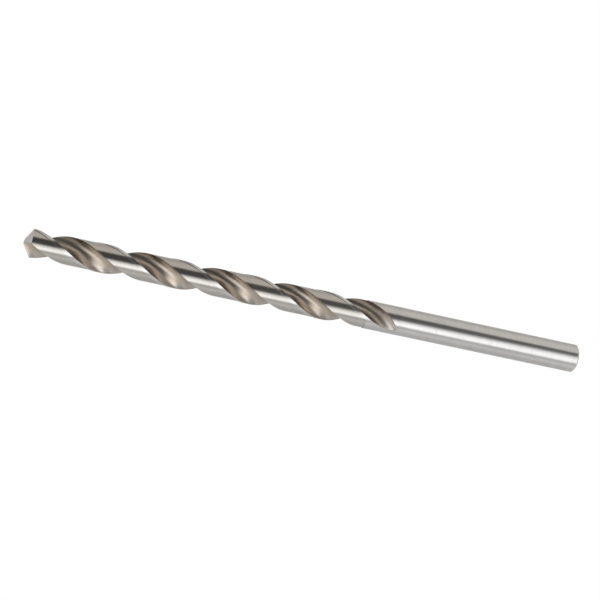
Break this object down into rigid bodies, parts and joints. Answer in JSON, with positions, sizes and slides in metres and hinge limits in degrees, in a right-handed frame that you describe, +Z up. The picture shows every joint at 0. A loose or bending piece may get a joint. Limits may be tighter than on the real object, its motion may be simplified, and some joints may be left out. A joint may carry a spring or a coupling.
{
  "type": "twist drill bit",
  "caption": "Long-series twist drill bit with right-hand helical flutes, ground margins, a ground cutting point and a plain straight shank.",
  "frame": {"origin": "centre of the shank's end face, on the drill's axis", "axes": "+X along the drill's axis from the shank end to the point; +Z up as the drill lies on a table, with the first cutting lip 21 degrees past +Z in the cutting turn"},
  "size_m": [0.165, 0.0084, 0.0084],
  "materials": {
    "ground_steel": "bright ground high speed steel, fine grinding lines"
  },
  "bodies": {
    "root": {"drill_bit": "ground_steel"}
  },
  "joints": []
}
